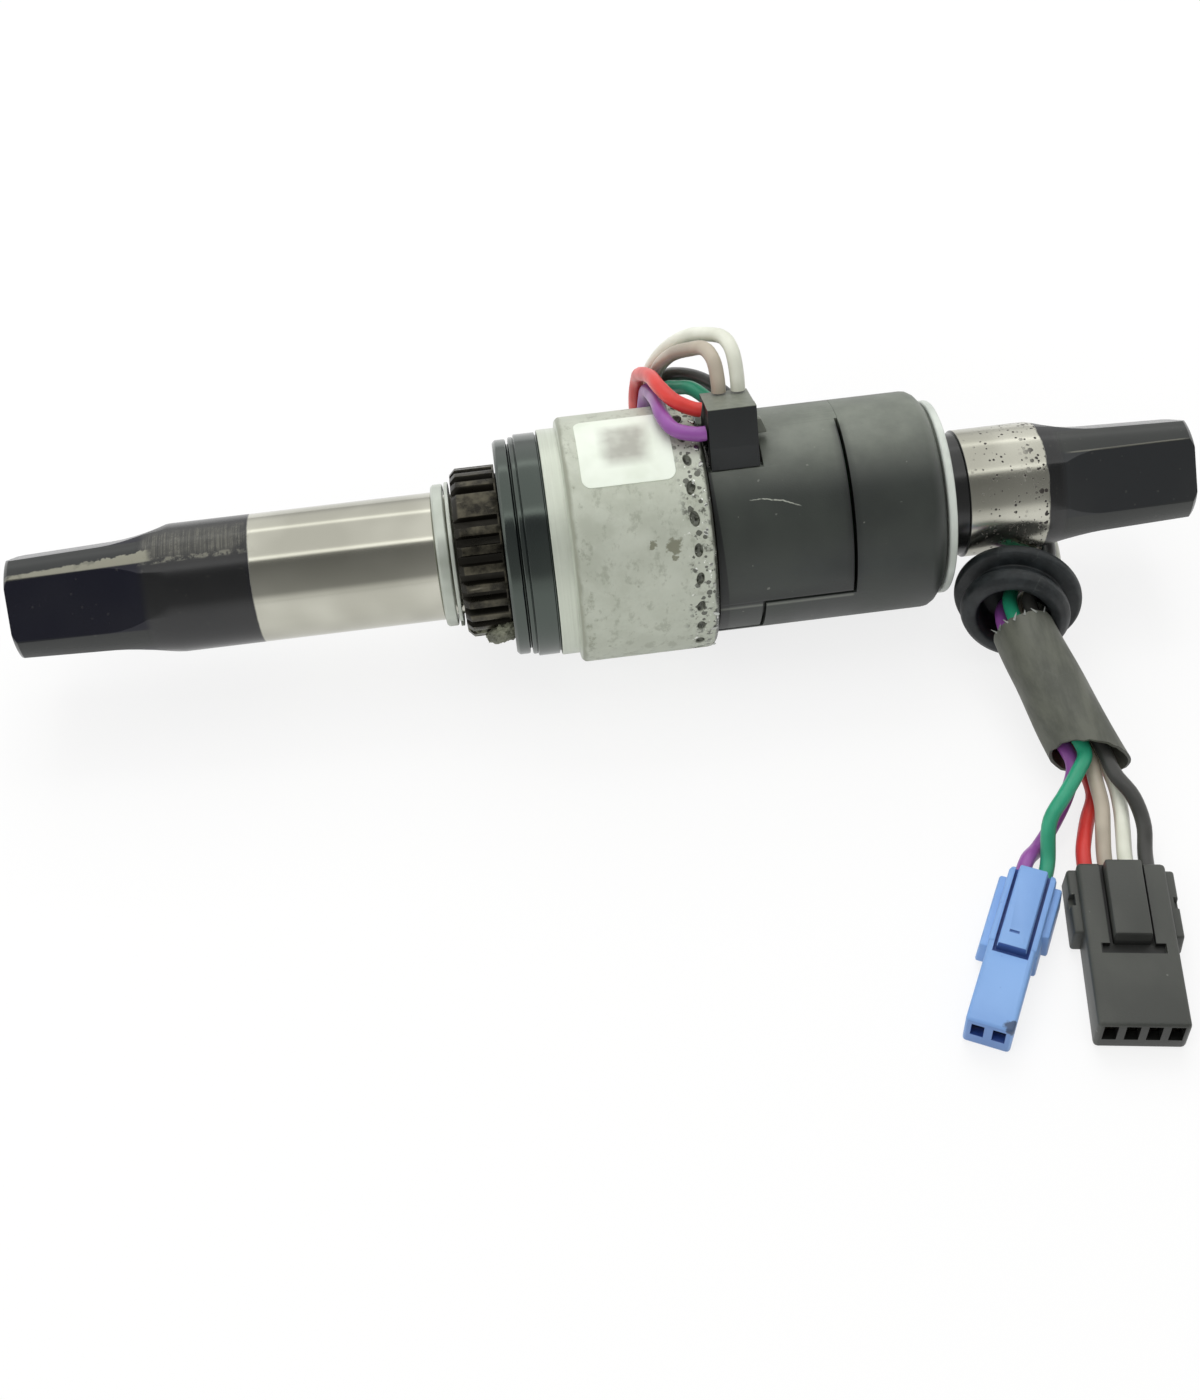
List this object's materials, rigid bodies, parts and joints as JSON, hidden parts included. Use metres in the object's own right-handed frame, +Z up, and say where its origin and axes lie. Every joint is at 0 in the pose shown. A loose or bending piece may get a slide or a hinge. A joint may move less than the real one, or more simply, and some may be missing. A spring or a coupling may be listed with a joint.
{
  "type": "bottom bracket torque sensor",
  "caption": "Bicycle bottom bracket torque sensor: square taper spindle in a cast bearing housing with a moulded cover, a splined torque sleeve, and a wiring lead that ends in plug connectors.",
  "frame": {"origin": "on the spindle's axis at the middle of the spindle's length", "axes": "+X along the spindle from the splined side towards the covered side, +Z up as it lies on a table, -Y towards the connectors"},
  "size_m": [0.156, 0.1062, 0.0397],
  "materials": {
    "black_oxide_steel": "black oxide, bare ground steel between",
    "pale_ring": "satin",
    "spline_steel": "dark, oily, worn",
    "gloss_black": "glossy",
    "cast_aluminium": "as cast, mottled, machined spigot",
    "cover_plastic": "moulded, fine grain",
    "white_plastic": "satin",
    "bearing_steel": "ground",
    "bobbin_plastic": "moulded",
    "copper": "enamelled winding",
    "board": "solder mask",
    "magnet": "bonded ferrite",
    "rubber_black": "satin, dusty",
    "sleeve_grey": "flexible tubing",
    "tin": "tinned",
    "blue_plastic": "moulded",
    "black_plastic": "moulded",
    "wire_red": "insulation",
    "wire_purple": "insulation",
    "wire_green": "insulation",
    "wire_white": "insulation",
    "wire_beige": "insulation",
    "wire_black": "insulation"
  },
  "bodies": {
    "housing": {"cast_housing": "cast_aluminium", "bearing_cap": "gloss_black", "left_bearing_outer": "bearing_steel", "right_bearing_outer": "bearing_steel", "coil_bobbin": "bobbin_plastic", "excitation_coil": "copper", "pickup_coil": "copper", "flux_shield": "bearing_steel", "circuit_board": "board", "sensor_cover": "cover_plastic", "cover_panel": "cover_plastic", "end_washer": "white_plastic", "cable_exit_block": "cover_plastic", "wire_red": "wire_red", "wire_purple": "wire_purple", "wire_green": "wire_green", "wire_white": "wire_white", "wire_beige": "wire_beige", "wire_black": "wire_black", "cable_sleeve": "sleeve_grey", "cable_grommet": "rubber_black", "two_pin_connector": "blue_plastic", "four_pin_connector": "black_plastic", "terminal_green": "tin", "terminal_purple": "tin", "terminal_red": "tin", "terminal_beige": "tin", "terminal_white": "tin", "terminal_black": "tin"},
    "spindle": {"crank_spindle": "black_oxide_steel", "torque_sleeve": "spline_steel", "spindle_collar": "pale_ring", "sleeve_snap_ring": "pale_ring", "seal_flinger": "gloss_black", "left_bearing_inner": "bearing_steel", "right_bearing_inner": "bearing_steel", "right_snap_ring": "bearing_steel", "magnet_ring": "magnet"},
    "left_cage": {"left_ball_cage": "bearing_steel"},
    "right_cage": {"right_ball_cage": "bearing_steel"}
  },
  "joints": [
    {"name": "spindle_spin", "type": "hinge", "parent": "housing", "child": "spindle", "pos_m": [0, 0, 0], "axis": [1, 0, 0], "continuous": true},
    {"name": "left_cage_orbit", "type": "hinge", "parent": "housing", "child": "left_cage", "pos_m": [-0.0017, 0, 0], "axis": [1, 0, 0], "continuous": true},
    {"name": "right_cage_orbit", "type": "hinge", "parent": "housing", "child": "right_cage", "pos_m": [0.0383, 0, 0], "axis": [1, 0, 0], "continuous": true}
  ],
  "couplings": [
    {"joint": "left_cage_orbit", "follows": "spindle_spin", "ratio": 0.449},
    {"joint": "right_cage_orbit", "follows": "spindle_spin", "ratio": 0.451}
  ]
}
